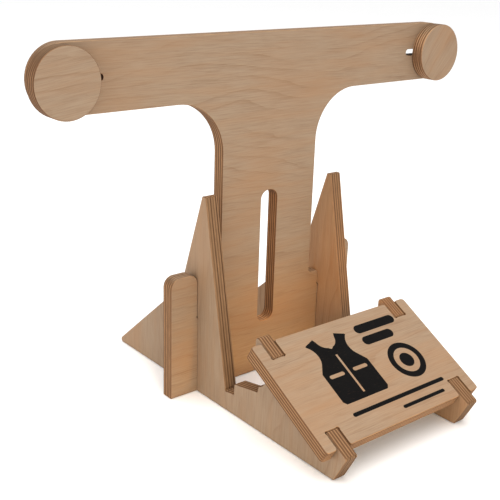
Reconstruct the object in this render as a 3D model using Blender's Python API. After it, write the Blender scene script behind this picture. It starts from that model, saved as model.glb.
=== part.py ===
"""Flat-pack plywood display stand with a T-shaped hanger and a sloping sign plate.

Two upright side plates lap over the hanger plate. The sign plate lies across the fronts of the
side plates. A round disc is clamped to the front of each arm of the hanger: when its screw at the
back is loosened, the disc slides along a slot in the arm.

Frame: +X to the right of someone facing the front, -Y to the front, +Z up. The origin is on the
floor, in the middle of the footprint.
"""
import math

import bmesh
import bpy
from mathutils import Vector

MM = 0.001

# Sheet stock and how it is cut
SHEET = 12 * MM             # thickness of every plywood plate
GAP = 0.3 * MM              # clearance between pieces that touch
EASE = 0.4 * MM             # chamfer on the long edges of each plate
CUTTER_R = 1.5875 * MM      # a round pocket of this radius is left in each inside corner
ARC_TOLERANCE = 0.05 * MM   # furthest that a chord may lie from its arc
SAME_POINT = 0.01 * MM      # points closer than this are one, as where two arcs meet
LONGEST_MITRE = 2           # at a sharp corner, the eased edge moves this many EASE at most
FLAT_SHADING = math.radians(30)   # faces that meet at more than this angle show a sharp edge

# Hanger plate, in X and Z
FRONT_Y = 29.5 * MM         # front face of the hanger, which centres the footprint on the origin
HANGER_TOP = 312.4 * MM
ARM_HEIGHT = 53.4 * MM
ARM_HALF_SPAN = 222.5 * MM
ARM_FILLET = 45 * MM
STEM_HALF = 52.9 * MM
SHOULDER_Z = 85 * MM        # where the stem widens out to the side plates
SHOULDER_FILLET = 4 * MM
SHOULDER_CORNER_R = 1.5 * MM
EAR_HALF = 105 * MM         # outer edge of the ears, outside the side plates
EAR_TOP = 111.5 * MM
EAR_OUTER_R = 9 * MM
EAR_INNER_R = 8 * MM
LAP_Z = 71 * MM             # height at which the hanger and side plates lap over each other
STEM_SLOT_HALF = 9.1 * MM
STEM_SLOT_BOTTOM = 49 * MM
STEM_SLOT_TOP = 175 * MM
STEM_SLOT_R = 8 * MM

# Side plates, in Y and Z, with Y counted from the hanger's front face
SIDE_X = 65.3 * MM          # inner face of each side plate
SPIRE_TOP = 182 * MM
SPIRE_REAR = -4.5 * MM
SPIRE_FRONT = -9.3 * MM
PANEL_SLOT_REAR = (-41.8 * MM, 17.6 * MM)
PANEL_SLOT_FRONT = (-53.0 * MM, 19.4 * MM)
STEP_REAR = (-53.6 * MM, 29.2 * MM)
STEP_FRONT = (-83.7 * MM, 34.9 * MM)
THROAT_CENTRE = (-82.8 * MM, 51.4 * MM)  # round throat below the hook, open to the rear
THROAT_R = 11 * MM
THROAT_LIP = -85.2 * MM     # where the throat starts, above the step
HOOK_REAR = -79.5 * MM
NOSE_TIP = -188.3 * MM
NOSE_FOOT = -176.0 * MM
TAIL_TIP = 132.9 * MM
TAIL_CORNER = (25.1 * MM, 92.7 * MM)
TAIL_FILLET = 8 * MM
TAIL_TIP_R = 2.5 * MM
POINT_R = 0.8 * MM          # corners of the spire's top, the hook and the prong
STEP_R = 1.0 * MM
HOOK_TOP_R = 3 * MM
NOSE_R = 2 * MM

# Sign plate, in X and down its slope from the top rear edge
SIGN_TILT = math.radians(29.2)
SIGN_REAR_Y = -87.6 * MM    # top rear edge, with Y counted from the hanger's front face
SIGN_REAR_Z = 80.0 * MM
SIGN_HALF = 89 * MM
SIGN_DEPTH = 105.2 * MM
SIGN_CORNER_R = 3 * MM
NOTCH_CLEARANCE = 0.7 * MM  # between a notch and each face of the side plate in it
NOTCH_DEPTH = 16.5 * MM
NOTCH_MOUTH_R = 2 * MM

# Discs and their clamps
DISC_R = ARM_HEIGHT / 2
DISC_X = 200.5 * MM
SCREW_R = 2 * MM
SCREW_LENGTH = 20 * MM      # under the head
SCREW_CHAMFER = 0.4 * MM
ARM_SLOT_HALF = 3 * MM
ARM_SLOT_Z = HANGER_TOP - ARM_HEIGHT / 2
ARM_SLOT_INNER = 165.5 * MM
ARM_SLOT_OUTER = DISC_X + ARM_SLOT_HALF
DISC_Z = ARM_SLOT_Z - ARM_SLOT_HALF + GAP + SCREW_R   # the screw lies on the slot's lower edge
INSERT_R = 3 * MM
INSERT_LENGTH = 8 * MM
INSERT_CHAMFER = 0.4 * MM
WASHER_R = 6 * MM
WASHER_THICKNESS = 1 * MM
WASHER_CHAMFER = 0.2 * MM
HEAD_R = 3.8 * MM           # button head of the screw, behind the washer
HEAD_LENGTH = 2.2 * MM
HEAD_RIM = 0.6 * MM         # straight part of the head, before its dome starts
HEAD_LAND_R = 2.1 * MM      # flat ring round the socket
SOCKET_HALF = 1.25 * MM     # from the middle of the hexagonal socket to one of its flats
SOCKET_DEPTH = 1.3 * MM
SCREW_SIDES = 36
DOME_STEPS = 4

# Finishes: colour, roughness, metallic
PLYWOOD = ((0.47, 0.30, 0.18), 0.62, 0.0)
PRINTED_PLYWOOD = ((0.57, 0.40, 0.25), 0.60, 0.0)
BRASS = ((0.62, 0.44, 0.16), 0.35, 1.0)
ZINC = ((0.60, 0.60, 0.62), 0.35, 1.0)


# ---------------------------------------------------------------- helpers

def clear_scene():
    for obj in list(bpy.data.objects):
        bpy.data.objects.remove(obj, do_unlink=True)


def finish(name, look):
    """Return a Principled material with the given colour, roughness and metallic value."""
    colour, roughness, metallic = look
    material = bpy.data.materials.new(name)
    material.use_nodes = True
    shader = material.node_tree.nodes["Principled BSDF"]
    shader.inputs["Base Color"].default_value = (*colour, 1.0)
    shader.inputs["Roughness"].default_value = roughness
    shader.inputs["Metallic"].default_value = metallic
    return material


def arc_steps(radius, sweep):
    """Return how many chords keep within ARC_TOLERANCE of an arc."""
    step = 2 * math.acos(1 - ARC_TOLERANCE / radius)
    return max(2, math.ceil(abs(sweep) / step))


def short_turn(angle):
    """Return the same angle between -pi and pi."""
    return (angle + math.pi) % math.tau - math.pi


def corner_arc(corner, to_last, to_next, radius):
    """Return the points of a rounded corner, or of a relief pocket if radius is negative."""
    size = abs(radius)
    half = to_last.angle(to_next) / 2
    bisector = (to_last + to_next).normalized()
    if radius > 0:
        reach = size / math.tan(half)
        centre = corner + bisector * size / math.sin(half)
    else:
        reach = 2 * size * math.cos(half)
        centre = corner + bisector * size
    start = corner + to_last * reach - centre
    middle = corner - centre
    first = math.atan2(start.y, start.x)
    sweep = 2 * short_turn(math.atan2(middle.y, middle.x) - first)
    steps = arc_steps(size, sweep)
    angles = [first + sweep * i / steps for i in range(steps + 1)]
    return [centre + Vector((math.cos(a), math.sin(a))) * size for a in angles]


def outline(corners):
    """Return the closed outline through corners given as (u, v, radius)."""
    points = []
    for i, (u, v, radius) in enumerate(corners):
        corner = Vector((u, v))
        to_last = (Vector(corners[i - 1][:2]) - corner).normalized()
        to_next = (Vector(corners[(i + 1) % len(corners)][:2]) - corner).normalized()
        if radius:
            points += corner_arc(corner, to_last, to_next, radius)
        else:
            points.append(corner)
    return [p for i, p in enumerate(points) if (p - points[i - 1]).length > SAME_POINT]


def signed_area(points):
    pairs = zip(points, points[1:] + points[:1])
    return sum(a.x * b.y - b.x * a.y for a, b in pairs) / 2


def inset(points, distance):
    """Move an anticlockwise outline inwards, or a clockwise one outwards, by a distance."""
    moved = []
    for i, point in enumerate(points):
        before = (point - points[i - 1]).normalized()
        after = (points[(i + 1) % len(points)] - point).normalized()
        left = Vector((-before.y - after.y, before.x + after.x)).normalized()
        mitre = distance / max(1 / LONGEST_MITRE, left.dot(Vector((-after.y, after.x))))
        moved.append(point + left * mitre)
    return moved


def link_mesh(name, bm, material):
    """Turn a bmesh into a named object with a material, round faces smooth and corners sharp."""
    bmesh.ops.recalc_face_normals(bm, faces=bm.faces)
    mesh = bpy.data.meshes.new(name)
    bm.to_mesh(mesh)
    bm.free()
    mesh.materials.append(material)
    mesh.shade_smooth()
    mesh.set_sharp_from_angle(angle=FLAT_SHADING)
    obj = bpy.data.objects.new(name, mesh)
    bpy.context.collection.objects.link(obj)
    return obj


def join_rings(bm, lower, upper):
    for i in range(len(lower)):
        bm.faces.new((lower[i - 1], lower[i], upper[i], upper[i - 1]))


def cut_plate(name, material, outside, holes=()):
    """Cut a plate in the local XY plane, SHEET thick along +Z, with eased edges."""
    bm = bmesh.new()
    bottom_edges = []
    top_edges = []
    for points, turn in [(outside, 1)] + [(hole, -1) for hole in holes]:
        if signed_area(points) * turn < 0:
            points = points[::-1]
        eased = inset(points, EASE)
        levels = ((eased, 0), (points, EASE), (points, SHEET - EASE), (eased, SHEET))
        rings = [[bm.verts.new((p.x, p.y, z)) for p in ring] for ring, z in levels]
        for lower, upper in zip(rings, rings[1:]):
            join_rings(bm, lower, upper)
        for ring, edges in ((rings[0], bottom_edges), (rings[-1], top_edges)):
            edges += [bm.edges.get((ring[i - 1], ring[i])) for i in range(len(ring))]
    for edges in (bottom_edges, top_edges):
        bmesh.ops.triangle_fill(bm, use_beauty=True, edges=edges)
    return link_mesh(name, bm, material)


def turned(name, material, profile):
    """Spin a profile of (radius, z) points, from axis to axis or closed, about local Z."""
    bm = bmesh.new()
    verts = [bm.verts.new((radius, 0, z)) for radius, z in profile]
    pairs = list(zip(verts, verts[1:]))
    if profile[0][0] > 0:
        pairs.append((verts[-1], verts[0]))
    edges = [bm.edges.new(pair) for pair in pairs]
    steps = arc_steps(max(radius for radius, z in profile), math.tau)
    bmesh.ops.spin(bm, geom=verts + edges, cent=(0, 0, 0), axis=(0, 0, 1),
                   angle=math.tau, steps=steps, use_merge=True)
    bmesh.ops.remove_doubles(bm, verts=bm.verts, dist=1e-6)
    return link_mesh(name, bm, material)


def empty_at(name, location):
    obj = bpy.data.objects.new(name, None)
    obj.location = location
    obj.empty_display_size = 0.02
    bpy.context.collection.objects.link(obj)
    return obj


def mirror_corners(corners):
    """Return the corners followed by their mirror images about the middle, in order."""
    return corners + [(-u, v, radius) for u, v, radius in reversed(corners)]


# ---------------------------------------------------------------- plates

def hanger_plate(material):
    """The T: two arms, a slotted stem, and ears outside the slots that take the side plates."""
    slot_in = SIDE_X - GAP
    slot_out = SIDE_X + SHEET + GAP
    arm_bottom = HANGER_TOP - ARM_HEIGHT
    right_half = [
        (ARM_HALF_SPAN, HANGER_TOP, ARM_HEIGHT / 2),
        (ARM_HALF_SPAN, arm_bottom, ARM_HEIGHT / 2),
        (STEM_HALF, arm_bottom, ARM_FILLET),
        (STEM_HALF, SHOULDER_Z, SHOULDER_FILLET),
        (slot_in, SHOULDER_Z, SHOULDER_CORNER_R),
        (slot_in, LAP_Z, -CUTTER_R),
        (slot_out, LAP_Z, -CUTTER_R),
        (slot_out, EAR_TOP, EAR_INNER_R),
        (EAR_HALF, EAR_TOP, EAR_OUTER_R),
        (EAR_HALF, 0, 0),
    ]
    stem_slot = [
        (STEM_SLOT_HALF, STEM_SLOT_TOP, STEM_SLOT_R),
        (STEM_SLOT_HALF, STEM_SLOT_BOTTOM, STEM_SLOT_R),
    ]
    holes = [outline(mirror_corners(stem_slot))]
    for side in (-1, 1):
        ends = (side * ARM_SLOT_INNER, side * ARM_SLOT_OUTER)
        levels = (ARM_SLOT_Z - ARM_SLOT_HALF, ARM_SLOT_Z + ARM_SLOT_HALF)
        corners = [(ends[0], levels[0]), (ends[1], levels[0]), (ends[1], levels[1]),
                   (ends[0], levels[1])]
        holes.append(outline([(x, z, ARM_SLOT_HALF) for x, z in corners]))
    plate = cut_plate("hanger_plate", material, outline(mirror_corners(right_half)), holes)
    plate.location = (0, FRONT_Y + SHEET, 0)
    plate.rotation_euler = (math.pi / 2, 0, 0)


def on_slope(along, above):
    """Return the Y and Z of a point given along the sign's slope and above its top face."""
    cos = math.cos(SIGN_TILT)
    sin = math.sin(SIGN_TILT)
    return SIGN_REAR_Y - along * cos - above * sin, SIGN_REAR_Z - along * sin + above * cos


def throat_points():
    """Return the round throat under the hook, from its lip forwards and up to the hook's rear."""
    centre_y, centre_z = THROAT_CENTRE
    first = -math.acos((THROAT_LIP - centre_y) / THROAT_R)
    last = math.acos((HOOK_REAR - centre_y) / THROAT_R) - math.tau
    steps = arc_steps(THROAT_R, last - first)
    angles = [first + (last - first) * i / steps for i in range(steps + 1)]
    return [(centre_y + THROAT_R * math.cos(a), centre_z + THROAT_R * math.sin(a), 0)
            for a in angles]


def side_plate(name, material, side):
    """A side plate: spire, slot for a leaning panel, hook, sign ledge, nose and tail."""
    ledge = -SHEET - GAP
    hook_front = NOTCH_DEPTH - GAP
    prong_rear = SIGN_DEPTH - NOTCH_DEPTH + GAP
    hook_along = (SIGN_REAR_Y - HOOK_REAR) / math.cos(SIGN_TILT)
    tip_along = (SIGN_REAR_Y - NOSE_TIP) / math.cos(SIGN_TILT)
    corners = [
        (SPIRE_REAR, SPIRE_TOP, POINT_R),
        (SPIRE_FRONT, SPIRE_TOP, POINT_R),
        (*PANEL_SLOT_REAR, -CUTTER_R),
        (*PANEL_SLOT_FRONT, -CUTTER_R),
        (*STEP_REAR, STEP_R),
        (*STEP_FRONT, -CUTTER_R),
    ]
    corners += throat_points()
    corners += [
        (HOOK_REAR, on_slope(hook_along, 0)[1], HOOK_TOP_R),
        (*on_slope(hook_front, 0), POINT_R),
        (*on_slope(hook_front, ledge), -CUTTER_R),
        (*on_slope(prong_rear, ledge), -CUTTER_R),
        (*on_slope(prong_rear, 0), POINT_R),
        (*on_slope(tip_along, 0), NOSE_R),
        (NOSE_FOOT, 0, NOSE_R),
        (-GAP, 0, 0),
        (-GAP, LAP_Z + GAP, -CUTTER_R),
        (SHEET + GAP, LAP_Z + GAP, -CUTTER_R),
        (SHEET + GAP, 0, 0),
        (TAIL_TIP, 0, TAIL_TIP_R),
        (*TAIL_CORNER, TAIL_FILLET),
    ]
    plate = cut_plate(name, material, outline(corners))
    left_face = SIDE_X if side > 0 else -SIDE_X - SHEET
    plate.location = (left_face, FRONT_Y, 0)
    plate.rotation_euler = (math.pi / 2, 0, math.pi / 2)


def sign_plate(material):
    """The sloping plate: two notches at the rear for the hooks and two in front for the prongs."""
    notch_in = SIDE_X - NOTCH_CLEARANCE
    notch_out = SIDE_X + SHEET + NOTCH_CLEARANCE
    right_half = [
        (notch_in, 0, NOTCH_MOUTH_R),
        (notch_in, NOTCH_DEPTH, -CUTTER_R),
        (notch_out, NOTCH_DEPTH, -CUTTER_R),
        (notch_out, 0, NOTCH_MOUTH_R),
        (SIGN_HALF, 0, SIGN_CORNER_R),
        (SIGN_HALF, SIGN_DEPTH, SIGN_CORNER_R),
        (notch_out, SIGN_DEPTH, NOTCH_MOUTH_R),
        (notch_out, SIGN_DEPTH - NOTCH_DEPTH, -CUTTER_R),
        (notch_in, SIGN_DEPTH - NOTCH_DEPTH, -CUTTER_R),
        (notch_in, SIGN_DEPTH, NOTCH_MOUTH_R),
    ]
    plate = cut_plate("sign_plate", material, outline(mirror_corners(right_half)))
    plate.location = (0, FRONT_Y + SIGN_REAR_Y, SIGN_REAR_Z)
    plate.rotation_euler = (math.pi + SIGN_TILT, 0, 0)


# ---------------------------------------------------------------- disc clamps
# Each piece is turned about local Z, which points to the front of the stand, and counts its
# distances from the hanger's front face.

def disc(name, material):
    """A plywood disc with a blind hole in its back for the threaded insert."""
    hole_r = INSERT_R + GAP
    back = GAP
    front = GAP + SHEET
    hole_end = back + INSERT_LENGTH + 2 * GAP
    profile = [
        (0, front), (DISC_R - EASE, front), (DISC_R, front - EASE), (DISC_R, back + EASE),
        (DISC_R - EASE, back), (hole_r, back), (hole_r, hole_end), (0, hole_end),
    ]
    return turned(name, material, profile)


def threaded_insert(name, material):
    back = 2 * GAP
    front = back + INSERT_LENGTH
    bore = SCREW_R + GAP
    profile = [
        (bore, back), (bore, front), (INSERT_R - INSERT_CHAMFER, front),
        (INSERT_R, front - INSERT_CHAMFER), (INSERT_R, back),
    ]
    return turned(name, material, profile)


def washer(name, material):
    front = -SHEET - GAP
    back = front - WASHER_THICKNESS
    bore = SCREW_R + GAP
    profile = [
        (bore, front), (WASHER_R - WASHER_CHAMFER, front), (WASHER_R, front - WASHER_CHAMFER),
        (WASHER_R, back + WASHER_CHAMFER), (WASHER_R - WASHER_CHAMFER, back), (bore, back),
    ]
    return turned(name, material, profile)


def clamp_screw(name, material):
    """A button-head screw with a hexagonal socket."""
    under = -SHEET - 2 * GAP - WASHER_THICKNESS
    top = under - HEAD_LENGTH
    tip = under + SCREW_LENGTH
    # radius and z of each round ring, from the tip to the land round the socket
    stations = [
        (SCREW_R - SCREW_CHAMFER, tip), (SCREW_R, tip - SCREW_CHAMFER),
        (SCREW_R, under), (HEAD_R, under),
    ]
    for i in range(DOME_STEPS + 1):
        angle = math.pi / 2 * i / DOME_STEPS
        stations.append((HEAD_LAND_R + (HEAD_R - HEAD_LAND_R) * math.cos(angle),
                         under - HEAD_RIM - (HEAD_LENGTH - HEAD_RIM) * math.sin(angle)))
    turns = [math.tau * i / SCREW_SIDES for i in range(SCREW_SIDES)]
    sections = [[(radius, z)] * SCREW_SIDES for radius, z in stations]
    hexagon = [SOCKET_HALF / math.cos(turn % (math.pi / 3) - math.pi / 6) for turn in turns]
    sections += [[(radius, z) for radius in hexagon] for z in (top, top + SOCKET_DEPTH)]
    bm = bmesh.new()
    rings = [[bm.verts.new((radius * math.cos(turn), radius * math.sin(turn), z))
              for turn, (radius, z) in zip(turns, section)] for section in sections]
    for lower, upper in zip(rings, rings[1:]):
        join_rings(bm, lower, upper)
    bm.faces.new(rings[0])
    bm.faces.new(rings[-1])
    return link_mesh(name, bm, material)


def disc_clamp(side, side_name, wood, brass, zinc):
    """Put a disc with its hardware on one arm. The disc's parent stands on its slide's axis."""
    slide = empty_at(f"disc_slide_{side_name}", (side * DISC_X, FRONT_Y, DISC_Z))
    turn = empty_at(f"screw_turn_{side_name}", (0, 0, 0))
    turn.parent = slide
    pieces = [
        (disc(f"disc_{side_name}", wood), slide),
        (threaded_insert(f"threaded_insert_{side_name}", brass), slide),
        (washer(f"washer_{side_name}", zinc), slide),
        (clamp_screw(f"clamp_screw_{side_name}", zinc), turn),
    ]
    for piece, parent in pieces:
        piece.parent = parent
        piece.rotation_euler = (math.pi / 2, 0, 0)


def build():
    clear_scene()
    plywood = finish("plywood", PLYWOOD)
    printed = finish("printed_plywood", PRINTED_PLYWOOD)
    brass = finish("brass", BRASS)
    zinc = finish("zinc_plate", ZINC)
    hanger_plate(plywood)
    side_plate("side_plate_left", plywood, -1)
    side_plate("side_plate_right", plywood, 1)
    sign_plate(printed)
    disc_clamp(-1, "left", plywood, brass, zinc)
    disc_clamp(1, "right", plywood, brass, zinc)


build()
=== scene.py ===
"""Looks for the plywood display stand.

Birch plywood that shows its plies on every cut edge, zinc-plated and brass hardware, a printed
pictogram on the sign, and a soft white studio.
"""

import math

import bmesh
import bpy
from mathutils import Matrix, Vector


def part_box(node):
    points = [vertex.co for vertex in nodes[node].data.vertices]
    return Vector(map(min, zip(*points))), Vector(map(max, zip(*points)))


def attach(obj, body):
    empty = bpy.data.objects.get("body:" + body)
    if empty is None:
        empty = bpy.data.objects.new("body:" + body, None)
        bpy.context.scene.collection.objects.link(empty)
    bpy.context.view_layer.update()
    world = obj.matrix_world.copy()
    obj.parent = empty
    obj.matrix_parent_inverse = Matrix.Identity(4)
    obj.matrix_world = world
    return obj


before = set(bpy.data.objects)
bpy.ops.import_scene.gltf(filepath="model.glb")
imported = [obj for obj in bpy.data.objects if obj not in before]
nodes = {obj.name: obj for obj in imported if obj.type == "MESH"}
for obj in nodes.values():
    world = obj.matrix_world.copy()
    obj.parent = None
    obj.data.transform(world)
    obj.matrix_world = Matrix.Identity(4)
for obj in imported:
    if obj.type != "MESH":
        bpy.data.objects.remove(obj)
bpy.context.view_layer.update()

MM = 0.001

# ---------------------------------------------------------------- measures from the frame

HANGER_LOW, HANGER_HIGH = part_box("hanger_plate")
SHEET = HANGER_HIGH.y - HANGER_LOW.y


def reach(node, direction):
    """Return how far a node goes in a direction, from the origin."""
    obj = nodes[node]
    return max(direction.dot(obj.matrix_world @ v.co) for v in obj.data.vertices)


# Down is the way to the sign's front edge, up is out of its top face. Its rear edge is highest.
SIGN_TILT = math.radians(29.2)
SIGN_DOWN = Vector((0, -math.cos(SIGN_TILT), -math.sin(SIGN_TILT)))
SIGN_UP = Vector((0, -math.sin(SIGN_TILT), math.cos(SIGN_TILT)))
SIGN_REAR = SIGN_UP * reach("sign_plate", SIGN_UP) - SIGN_DOWN * reach("sign_plate", -SIGN_DOWN)


# ---------------------------------------------------------------- shader helpers

class Shader:
    """A Principled material, with helpers that add nodes already wired to their inputs."""

    def __init__(self, name, **constants):
        self.material = bpy.data.materials.new(name)
        self.material.use_nodes = True
        self.tree = self.material.node_tree
        self.surface = self.tree.nodes["Principled BSDF"]
        for socket, value in constants.items():
            self.surface.inputs[socket.replace("_", " ")].default_value = value

    def node(self, kind, inputs, **settings):
        made = self.tree.nodes.new("ShaderNode" + kind)
        for key, value in settings.items():
            setattr(made, key, value)
        for key, value in inputs.items():
            self.feed(made.inputs[key], value)
        return made

    def feed(self, socket, value):
        if isinstance(value, bpy.types.NodeSocket):
            self.tree.links.new(value, socket)
        else:
            socket.default_value = value

    def math(self, operation, *values, clamp=False):
        inputs = dict(enumerate(values))
        return self.node("Math", inputs, operation=operation, use_clamp=clamp).outputs[0]

    def vector(self, operation, *values):
        made = self.node("VectorMath", dict(enumerate(values)), operation=operation)
        return made.outputs["Value" if operation == "DOT_PRODUCT" else "Vector"]

    def combine(self, x, y, z):
        return self.node("CombineXYZ", {0: x, 1: y, 2: z}).outputs[0]

    def noise(self, vector, scale=1.0, detail=2.0, roughness=0.5, distortion=0.0):
        inputs = {"Vector": vector, "Scale": scale, "Detail": detail, "Roughness": roughness,
                  "Distortion": distortion}
        return self.node("TexNoise", inputs).outputs["Fac"]

    def ramp(self, value, low, high, to_low=0.0, to_high=1.0, smooth=True):
        kind = "SMOOTHSTEP" if smooth else "LINEAR"
        inputs = {"Value": value, "From Min": low, "From Max": high, "To Min": to_low,
                  "To Max": to_high}
        return self.node("MapRange", inputs, interpolation_type=kind).outputs[0]

    def mix(self, factor, first, second, blend="MIX"):
        inputs = {"Factor": factor, 6: first, 7: second}
        made = self.node("Mix", inputs, data_type="RGBA", blend_type=blend)
        return made.outputs[2]

    def blend_value(self, factor, first, second):
        return self.node("Mix", {"Factor": factor, 2: first, 3: second}).outputs[0]

    def bump(self, height, distance, strength=1.0, normal=None):
        inputs = {"Height": height, "Distance": distance, "Strength": strength}
        if normal is not None:
            inputs["Normal"] = normal
        return self.node("Bump", inputs).outputs[0]

    def set(self, **sockets):
        for socket, value in sockets.items():
            self.feed(self.surface.inputs[socket.replace("_", " ")], value)
        return self.material


def colour(r, g, b):
    """Return a linear colour from display values between 0 and 255."""
    return tuple((c / 12.92 if c <= 0.04045 else ((c + 0.055) / 1.055) ** 2.4)
                 for c in (r / 255, g / 255, b / 255)) + (1.0,)


# ---------------------------------------------------------------- plywood

PLIES = 9
PLY_PAIR = 2 * 12.0 / PLIES     # one long ply and one cross ply, in mm
RINGS_PER_MM = 0.1              # growth rings across the face, where they run straight
FACE_SKIN = 0.03                # how far below a face its veneer's look still holds, in mm
GRAIN_DEPTH = 0.06 * MM
FACE_LIGHT = colour(157, 137, 116)
FACE_DARK = colour(122, 93, 69)
FACE_WARM = colour(158, 125, 95)
LONG_GRAIN = colour(160, 125, 92)
END_GRAIN = colour(86, 56, 34)
PLAIN = (1.0, 1.0, 1.0, 1.0)


def tinted(base, tint):
    return tuple(b * t for b, t in zip(base, tint))


def veneer(s, v, stretched, tint):
    """Return a face's colour, fibres and pores: growth rings, fine fibres and warmer patches."""
    drift = stretched(0.004, 0.012, 0.0, 3.1, detail=2.0, roughness=0.45)
    wave = stretched(0.02, 0.06, 0.0, 8.7, detail=3.0)
    rings = s.math("MULTIPLY_ADD", drift, 9.0, s.math("MULTIPLY_ADD", v, RINGS_PER_MM, wave))
    ring = s.math("FRACT", rings)
    late = s.math("MULTIPLY", s.math("POWER", ring, 5.0), s.ramp(ring, 1.0, 0.93))
    late = s.math("MULTIPLY", late, s.ramp(stretched(0.01, 0.03, 0.0, 5.5), 0.35, 0.65, 0.1, 1.0))
    fibre = stretched(0.035, 1.1, 0.0, 1.3, detail=5.0, roughness=0.65)
    pores = s.ramp(stretched(0.22, 5.0, 0.0, 6.2, detail=2.0), 0.66, 0.76)
    mottle = stretched(0.03, 0.08, 0.0, 2.6, detail=3.0, distortion=0.6)
    tone = s.math("MULTIPLY_ADD", s.ramp(fibre, 0.3, 0.72), 0.42, s.math("MULTIPLY", late, 0.42))
    tone = s.math("ADD", tone, s.math("MULTIPLY", pores, 0.2))
    tone = s.math("ADD", tone, s.math("MULTIPLY_ADD", mottle, 0.35, -0.2), clamp=True)
    colour_here = s.mix(tone, tinted(FACE_LIGHT, tint), tinted(FACE_DARK, tint))
    patch = stretched(0.006, 0.014, 0.0, 9.4, detail=2.0)
    streak = stretched(0.012, 0.11, 0.0, 7.9, detail=3.0)
    warm = s.math("ADD", s.ramp(patch, 0.42, 0.72, 0.0, 0.45), s.ramp(streak, 0.4, 0.7, 0.0, 0.3))
    return s.mix(warm, colour_here, tinted(FACE_WARM, tint)), fibre, pores


def cut_plies(s, place, facing, stretched, seed, tint):
    """Return a cut edge's colour, how much of it is end grain, and its grain.

    place is along, across and through the plate, in millimetres. facing is how squarely the edge
    faces along and across. The cross plies are thin bands, and end grain is darker.
    """
    u, v, w = place
    wobble = stretched(0.03, 0.03, 0.0, 4.4, detail=2.0)
    depth = s.math("MULTIPLY_ADD", w, 1 / PLY_PAIR, s.math("MULTIPLY_ADD", wobble, 0.16, -0.33))
    band = s.math("ABSOLUTE", s.math("SUBTRACT", s.math("FRACT", depth), 0.5))
    crossed = s.ramp(band, 0.26, 0.16)
    ends = s.ramp(s.blend_value(crossed, *facing), 0.25, 0.9)
    own = s.noise(s.combine(s.math("FLOOR", depth), seed, 0.0), scale=7.3, detail=0.0)
    own = s.ramp(own, 0.3, 0.7, 0.45, 1.0)
    streaks = s.noise(s.combine(s.math("MULTIPLY", u, 0.1), s.math("MULTIPLY", v, 0.1),
                                s.math("MULTIPLY_ADD", w, 1.6, seed)), detail=4.0, roughness=0.65)
    specks = s.noise(s.combine(*(s.math("MULTIPLY", part, 1.6) for part in place)),
                     detail=3.0, roughness=0.7)
    mixed = s.math("MULTIPLY_ADD", specks, 0.5, s.math("MULTIPLY", streaks, 0.5))
    grain = s.blend_value(ends, streaks, mixed)
    spread = s.math("MULTIPLY_ADD", crossed, s.math("SUBTRACT", own, 0.8), 0.8)
    dark = s.math("MULTIPLY", ends, spread)
    colour_here = s.mix(dark, tinted(LONG_GRAIN, tint), tinted(END_GRAIN, tint))
    shade = s.math("MULTIPLY_ADD", grain, 1.1, 0.42)
    colour_here = s.mix(1.0, colour_here, s.combine(shade, shade, shade), blend="MULTIPLY")
    return colour_here, ends, grain


def plywood(name, origin, along, across, through, seed, face=PLAIN, edge=PLAIN, painted_top_shading=PLAIN,
            painted_slot_shade=()):
    """Plywood with its face grain along one axis and its plies stacked along another.

    origin is a point on one face, and the three axes are unit vectors. Every distance in the
    nodes is in millimetres. face and edge multiply the colours of the faces and the cut edges.
    painted_top_shading multiplies an edge's colour where it faces up: painted light from above
    where its values pass one, painted shade where they fall below one. painted_slot_shade lists
    the slots whose edges get painted shade, for the shade deep inside them: the centre and half
    sizes of a rounded region, in world metres with X positive on both sides, and what it
    multiplies the edge's colour by.
    """
    s = Shader(name, Specular_IOR_Level=0.25)
    coordinates = s.node("TexCoord", {})
    point = coordinates.outputs["Object"]
    normal = coordinates.outputs["Normal"]
    offset = s.vector("SUBTRACT", point, origin)
    offset = s.node("VectorMath", {0: offset, "Scale": 1 / MM}, operation="SCALE").outputs[0]
    place = [s.vector("DOT_PRODUCT", offset, axis) for axis in (along, across, through)]
    facing = [s.math("ABSOLUTE", s.vector("DOT_PRODUCT", normal, axis))
              for axis in (along, across)]
    u, v, w = place

    def stretched(per_u, per_v, per_w, shift, **settings):
        """Noise with its own scale along each axis, in cells per millimetre."""
        cell = s.combine(s.math("MULTIPLY_ADD", u, per_u, seed + shift),
                         s.math("MULTIPLY_ADD", v, per_v, seed - shift),
                         s.math("MULTIPLY", w, per_w))
        return s.noise(cell, **settings)

    face_colour, fibre, pores = veneer(s, v, stretched, face)
    edge_colour, ends, grain = cut_plies(s, place, facing, stretched, seed, edge)
    # Edges that face up take painted light from above, or painted shade where painted_top_shading
    # is below one
    faces_up = s.ramp(s.node("SeparateXYZ", {0: normal}).outputs[2], 0.4, 0.9)
    edge_colour = s.mix(faces_up, edge_colour, painted_top_shading, blend="MULTIPLY")
    # Edges inside the listed slots are darkened: painted shade for the shade deep in the slots
    for centre, half_sizes, tint in painted_slot_shade:
        beside = s.vector("DIVIDE", s.vector("SUBTRACT", s.vector("ABSOLUTE", point), centre),
                          half_sizes)
        inside = s.math("LESS_THAN", s.vector("DOT_PRODUCT", beside, beside), 1.0)
        edge_colour = s.mix(inside, edge_colour, tint, blend="MULTIPLY")

    on_face = s.math("MAXIMUM", s.math("LESS_THAN", w, FACE_SKIN),
                     s.math("GREATER_THAN", w, SHEET / MM - FACE_SKIN))
    rough_face = s.math("MULTIPLY_ADD", fibre, 0.18, 0.5)
    rough_edge = s.math("MULTIPLY_ADD", grain, 0.2, 0.68)
    face_height = s.math("MULTIPLY_ADD", pores, -0.5, s.math("MULTIPLY", fibre, 0.6))
    edge_height = s.math("MULTIPLY_ADD", ends, -0.6, grain)
    relief = s.blend_value(on_face, edge_height, face_height)
    return s.set(Base_Color=s.mix(on_face, edge_colour, face_colour),
                 Roughness=s.blend_value(on_face, rough_edge, rough_face),
                 Normal=s.bump(relief, GRAIN_DEPTH, 0.6))


def show(node, material):
    """Give a CAD node its material."""
    mesh_slots = nodes[node].data.materials
    mesh_slots.clear()
    mesh_slots.append(material)


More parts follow.
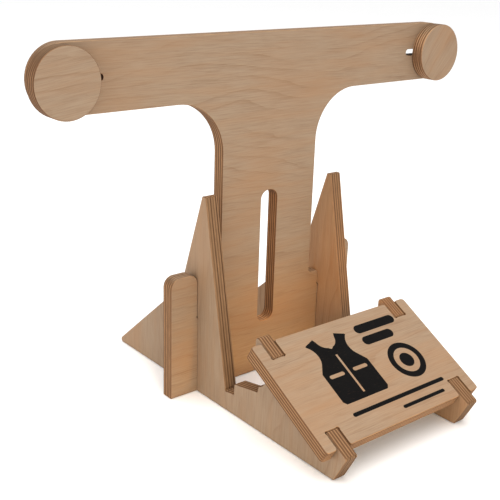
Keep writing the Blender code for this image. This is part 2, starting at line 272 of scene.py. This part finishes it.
X, Y, Z = Vector((1, 0, 0)), Vector((0, 1, 0)), Vector((0, 0, 1))
# The right plate's faces are tinted warmer: painted warm bounce light, for the light the wood
# around it throws onto its inner face
SIDE_FACE_PAINTED_BOUNCE = {"left": PLAIN, "right": (1.12, 1.0, 0.86, 1.0)}
# The side plates' cut edges are darkened and those facing up lightened again: painted shade on
# their upright edges and painted light from above
SIDE_EDGE_PAINTED_SHADE = (0.74, 0.76, 0.78, 1.0)
SIDE_TOP_PAINTED_LIGHT = (1.35, 1.35, 1.35, 1.0)
# The left disc's cut edge is darkened as painted shade and the right disc's lightened as painted
# light; their upward edges are darkened as painted shade
DISC_EDGE_PAINTED_LIGHT_AND_SHADE = {"left": (0.82, 0.78, 0.75, 1.0), "right": (1.25, 1.3, 1.4, 1.0)}
DISC_TOP_PAINTED_SHADE = (0.72, 0.78, 0.82, 1.0)
DISC_GRAIN = {"left": math.radians(8), "right": math.radians(50)}   # up from level
# The hanger's upward edges are lighter and greyer: painted light from above
HANGER_TOP_PAINTED_LIGHT = (0.96, 1.1, 1.3, 1.0)
# ARM_SLOT_PAINTED_SHADE darkens the edges inside the arm slots and STEM_SLOT_PAINTED_SHADE warms
# and darkens those inside the stem slot: painted shade, for the shade deep in these narrow slots
ARM_SLOT_PAINTED_SHADE = (0.3, 0.22, 0.18, 1.0)
STEM_SLOT_PAINTED_SHADE = (1.0, 0.86, 0.7, 1.0)
SEED = {"left": 21.0, "right": 37.0}

# The slots in the hanger whose edges get painted shade, for the shade deep inside them
MIDDLE_Y = (HANGER_LOW.y + HANGER_HIGH.y) / 2
DISC_LOW, DISC_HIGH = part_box("disc_right")
DISC_R = (DISC_HIGH.x - DISC_LOW.x) / 2
SCREW_TRAVEL = 32 * MM
ARM_SLOT = Vector((DISC_HIGH.x - DISC_R - SCREW_TRAVEL / 2, MIDDLE_Y, HANGER_HIGH.z - DISC_R))
STEM_SLOT = Vector((0, MIDDLE_Y, 112 * MM))
PAINTED_SLOT_SHADE = ((ARM_SLOT, Vector((24 * MM, SHEET, 5 * MM)), ARM_SLOT_PAINTED_SHADE),
           (STEM_SLOT, Vector((16 * MM, SHEET, 95 * MM)), STEM_SLOT_PAINTED_SHADE))

show("hanger_plate", plywood("hanger_wood", HANGER_LOW, X, Z, Y, 4.0, painted_top_shading=HANGER_TOP_PAINTED_LIGHT,
                             painted_slot_shade=PAINTED_SLOT_SHADE))
for side in ("left", "right"):
    show(f"side_plate_{side}", plywood(f"side_{side}_wood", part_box(f"side_plate_{side}")[0],
                                       Z, Y, X, SEED[side], face=SIDE_FACE_PAINTED_BOUNCE[side], edge=SIDE_EDGE_PAINTED_SHADE,
                                       painted_top_shading=SIDE_TOP_PAINTED_LIGHT))
    lean = DISC_GRAIN[side]
    along = Vector((math.cos(lean), 0, math.sin(lean)))
    across = Vector((-math.sin(lean), 0, math.cos(lean)))
    show(f"disc_{side}", plywood(f"disc_{side}_wood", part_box(f"disc_{side}")[0], along, across, Y,
                                 SEED[side] + 9, edge=DISC_EDGE_PAINTED_LIGHT_AND_SHADE[side], painted_top_shading=DISC_TOP_PAINTED_SHADE))
show("sign_plate", plywood("sign_wood", SIGN_REAR, X, SIGN_DOWN, -SIGN_UP, 55.0))


# ---------------------------------------------------------------- hardware

def metal(name, base, stain, axis_point, roughness, thread_end=None):
    """Turned metal: fine rings left by the lathe, with a little tarnish.

    The axis runs along Y. If thread_end is given, the metal has a thread in front of the point
    that far behind axis_point, in mm.
    """
    s = Shader(name, Metallic=1.0)
    place = s.node("TexCoord", {}).outputs["Object"]
    offset = s.vector("SUBTRACT", place, axis_point)
    offset = s.node("VectorMath", {0: offset, "Scale": 1 / MM}, operation="SCALE").outputs[0]
    part = s.node("SeparateXYZ", {0: offset}).outputs
    radius = s.math("SQRT", s.math("ADD", s.math("MULTIPLY", part[0], part[0]),
                                   s.math("MULTIPLY", part[2], part[2])))
    rings = s.noise(s.combine(s.math("MULTIPLY", radius, 9.0), s.math("MULTIPLY", part[1], 9.0),
                              0.0), detail=3.0)
    tarnish = s.noise(offset, scale=0.35, detail=4.0, roughness=0.6)
    tone = s.mix(s.ramp(tarnish, 0.45, 0.75), base, stain)
    rough = s.math("ADD", s.math("MULTIPLY_ADD", tarnish, 0.25, roughness),
                   s.math("MULTIPLY", rings, 0.12))
    height = s.math("MULTIPLY", rings, 0.015)
    if thread_end is not None:
        turn = s.math("DIVIDE", s.math("ARCTAN2", part[2], part[0]), math.tau)
        wound = s.math("PINGPONG", s.math("MULTIPLY_ADD", part[1], 1 / THREAD_PITCH, turn), 0.5)
        cut = s.math("MULTIPLY", s.ramp(wound, 0.42, 0.08),
                     s.math("LESS_THAN", part[1], thread_end))
        height = s.math("MULTIPLY_ADD", cut, -0.4, height)
        tone = s.mix(s.math("MULTIPLY", cut, 0.6), tone, stain)
    return s.set(Base_Color=tone, Roughness=rough, Normal=s.bump(height, MM))


ZINC = colour(196, 197, 200)
ZINC_STAIN = colour(132, 132, 136)
BRASS = colour(204, 170, 98)
BRASS_STAIN = colour(146, 108, 52)
THREAD_PITCH = 0.7
for side in ("left", "right"):
    low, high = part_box(f"clamp_screw_{side}")
    axis_point = (low + high) / 2
    head_start = (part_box(f"washer_{side}")[1].y - axis_point.y) / MM
    show(f"washer_{side}", metal(f"washer_{side}_zinc", ZINC, ZINC_STAIN, axis_point, 0.22))
    show(f"threaded_insert_{side}",
         metal(f"insert_{side}_brass", BRASS, BRASS_STAIN, axis_point, 0.2))
    show(f"clamp_screw_{side}",
         metal(f"screw_{side}_zinc", ZINC, ZINC_STAIN, axis_point, 0.16, head_start))


# ---------------------------------------------------------------- print on the sign
# Shapes are given in millimetres across the sign and down its slope from the rear edge.

INK_THICKNESS = 0.04 * MM
VEST_X = -20.0
TARGET = (42.0, 57.5)


def arc(x, down, radius, start, end, steps=16):
    """Return points on an arc, with its angles in degrees: 0 is to the right, 90 is downhill."""
    angles = [math.radians(start + (end - start) * i / steps) for i in range(steps + 1)]
    return [(x + radius * math.cos(a), down + radius * math.sin(a)) for a in angles]


def bar(left, right, top, bottom):
    """A bar with round ends."""
    radius = (bottom - top) / 2
    middle = (top + bottom) / 2
    return arc(left + radius, middle, radius, 90, 270) + arc(right - radius, middle, radius,
                                                             -90, 90)


def vest():
    """The outline of a sleeveless vest, with its neck and armholes cut out."""
    half = [(0.0, 25.0)] + arc(0, 13.0, 10.5, 75, 10, 10) + [(12.0, 11.5), (21.5, 15.0)]
    half += arc(31.5, 27.5, 14.5, 232, 150, 10)
    half += [(25.5, 44.0), (25.5, 72.0), (23.0, 75.0), (0.0, 75.0)]
    left = [(VEST_X - x, down) for x, down in half]
    right = [(VEST_X + x, down) for x, down in reversed(half[1:-1])]
    return left + right


def seam(x, top, bottom, width):
    return [(x - width / 2, top), (x + width / 2, top), (x + width / 2, bottom),
            (x - width / 2, bottom)]


def ink():
    """Black screen print, a little thin where the wood's pores took it up."""
    s = Shader("print_ink", Specular_IOR_Level=0.12)
    place = s.node("TexCoord", {}).outputs["Object"]
    point = s.node("VectorMath", {0: place, 1: (0.25 / MM, 2.4 / MM, 2.4 / MM)},
                   operation="MULTIPLY").outputs[0]
    pores = s.ramp(s.noise(point, detail=3.0, roughness=0.6), 0.6, 0.78)
    blotch = s.noise(place, scale=0.09 / MM, detail=2.0)
    tone = s.mix(s.math("MULTIPLY", pores, 0.55), colour(8, 6, 6), colour(84, 64, 47))
    tone = s.mix(s.ramp(blotch, 0.35, 0.7, 0.0, 0.3), tone, colour(17, 15, 14))
    rough = s.math("MULTIPLY_ADD", pores, 0.2, 0.55)
    return s.set(Base_Color=tone, Roughness=rough, Normal=s.bump(pores, -0.03 * MM, 0.5))


def sign_print():
    """A pictogram, bars and rules in place of words, printed on the sign's top face."""
    shapes = [
        [vest(), seam(VEST_X, 31.0, 70.0, 2.2), bar(VEST_X - 21, VEST_X - 5, 47.0, 50.5),
         bar(VEST_X + 5, VEST_X + 21, 47.0, 50.5)],
        [bar(14.0, 62.0, 11.5, 20.0)],
        [bar(14.0, 50.0, 24.0, 32.5)],
        [arc(*TARGET, 18.0, 0, 360, 47)[:-1], arc(*TARGET, 12.5, 0, 360, 39)[:-1]],
        [arc(*TARGET, 7.0, 0, 360, 29)[:-1]],
        [bar(-45.0, 62.0, 83.5, 87.0)],
        [bar(4.0, 54.0, 93.5, 96.5)],
    ]
    bm = bmesh.new()
    for outlines in shapes:
        edges = []
        for points in outlines:
            ring = [bm.verts.new(SIGN_REAR + X * x * MM + SIGN_DOWN * down * MM)
                    for x, down in points]
            edges += [bm.edges.new((ring[i - 1], ring[i])) for i in range(len(ring))]
        bmesh.ops.triangle_fill(bm, use_beauty=True, edges=edges)
    solid = bmesh.ops.extrude_face_region(bm, geom=list(bm.faces))["geom"]
    lifted = [item for item in solid if isinstance(item, bmesh.types.BMVert)]
    bmesh.ops.translate(bm, verts=lifted, vec=SIGN_UP * INK_THICKNESS)
    bmesh.ops.recalc_face_normals(bm, faces=bm.faces)
    mesh = bpy.data.meshes.new("sign_print")
    bm.to_mesh(mesh)
    bm.free()
    mesh.materials.append(ink())
    piece = bpy.data.objects.new("sign_print", mesh)
    bpy.context.scene.collection.objects.link(piece)
    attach(piece, "sign")


sign_print()


# ---------------------------------------------------------------- studio

def world_light(strength):
    world = bpy.data.worlds.new("studio")
    world.use_nodes = True
    background = world.node_tree.nodes["Background"]
    background.inputs["Color"].default_value = (1, 1, 1, 1)
    background.inputs["Strength"].default_value = strength
    bpy.context.scene.world = world


def area_light(name, place, target, size, power, tint=(1, 1, 1)):
    light = bpy.data.lights.new(name, "AREA")
    light.shape = "DISK"
    light.size = size
    light.energy = power
    light.color = tint
    aim(bpy.data.objects.new(name, light), place, target)


def spot_light(name, place, target, cone, size, power, tint):
    """A beam that fades smoothly from its middle to the edge of its cone, in degrees."""
    light = bpy.data.lights.new(name, "SPOT")
    light.spot_size = math.radians(cone)
    light.spot_blend = 1.0
    light.shadow_soft_size = size
    light.energy = power
    light.color = tint
    lamp = bpy.data.objects.new(name, light)
    aim(lamp, place, target)
    return lamp


def only_on(lamp, node):
    """Let a lamp reach one piece only, as wood reflects warm light onto the piece beside it."""
    reached = bpy.data.collections.new(lamp.name + "_reaches")
    reached.objects.link(nodes[node])
    lamp.light_linking.receiver_collection = reached


def aim(lamp, place, target):
    lamp.location = place
    lamp.rotation_euler = (Vector(target) - Vector(place)).to_track_quat("-Z", "Y").to_euler()
    bpy.context.scene.collection.objects.link(lamp)


def pale_floor():
    """A wide white floor that meets the white surroundings without a visible edge."""
    bm = bmesh.new()
    bmesh.ops.create_circle(bm, cap_ends=True, radius=12.0, segments=96)
    mesh = bpy.data.meshes.new("floor")
    bm.to_mesh(mesh)
    bm.free()
    floor = bpy.data.objects.new("floor", mesh)
    floor.location.z = -0.0004
    bpy.context.scene.collection.objects.link(floor)
    s = Shader("floor_paint", Specular_IOR_Level=0.1)
    mottle = s.noise(s.node("TexCoord", {}).outputs["Object"], scale=2.0)
    mesh.materials.append(s.set(Base_Color=(0.97, 0.97, 0.97, 1),
                                Roughness=s.ramp(mottle, 0.0, 1.0, 0.8, 0.9)))


# The camera's place and its yaw, pitch and roll, which look at the stand from its front left
CAMERA_PLACE = (-0.5036, -0.5543, 0.3880)
CAMERA_YAW, CAMERA_PITCH, CAMERA_ROLL = 0.6915, 0.3371, 0.0317
SENSOR_MM = 36.0
LENS_MM = 64.872


def make_camera():
    yaw, pitch, roll = CAMERA_YAW, CAMERA_PITCH, CAMERA_ROLL
    ahead = Vector((math.sin(yaw) * math.cos(pitch), math.cos(yaw) * math.cos(pitch),
                    -math.sin(pitch)))
    level = Vector((math.cos(yaw), -math.sin(yaw), 0))
    above = level.cross(ahead)
    right = level * math.cos(roll) + above * math.sin(roll)
    up = above * math.cos(roll) - level * math.sin(roll)
    camera = bpy.data.objects.new("camera", bpy.data.cameras.new("camera"))
    turn = Matrix((right, up, -ahead)).transposed().to_4x4()
    camera.matrix_world = Matrix.Translation(CAMERA_PLACE) @ turn
    camera.data.sensor_width = SENSOR_MM
    camera.data.lens = LENS_MM
    camera.data.clip_start = 0.01
    camera.data.clip_end = 100
    bpy.context.scene.collection.objects.link(camera)
    bpy.context.scene.camera = camera


make_camera()
pale_floor()
world_light(1.0)
area_light("overhead", (-0.3, -0.3, 2.3), (0, 0, 0.1), 2.4, 28)
area_light("key", (-0.75, -1.75, 1.35), (0, 0, 0.12), 0.25, 7)
area_light("left_fill", (-1.9, -0.5, 0.9), (0, 0, 0.12), 1.4, 5)
spot_light("front_fill", (-0.6, -1.2, 0.25), (-0.02, -0.06, -0.03), 26, 0.3, 41,
           (1.0, 0.72, 0.3))
bounce = spot_light("foot_bounce", (0.0, -0.35, 0.35), (0, 0, -0.05), 34, 0.05, 12,
                    (1.0, 0.56, 0.08))
only_on(bounce, "hanger_plate")
right_bounce = spot_light("right_bounce", (-0.15, -0.3, 0.22), (0.085, 0.02, 0.09), 26, 0.05, 3,
                          (1.0, 0.5, 0.1))
only_on(right_bounce, "side_plate_right")
# A little more contrast than the plain transform gives
bpy.context.scene.view_settings.view_transform = "Standard"
bpy.context.scene.view_settings.gamma = 0.87
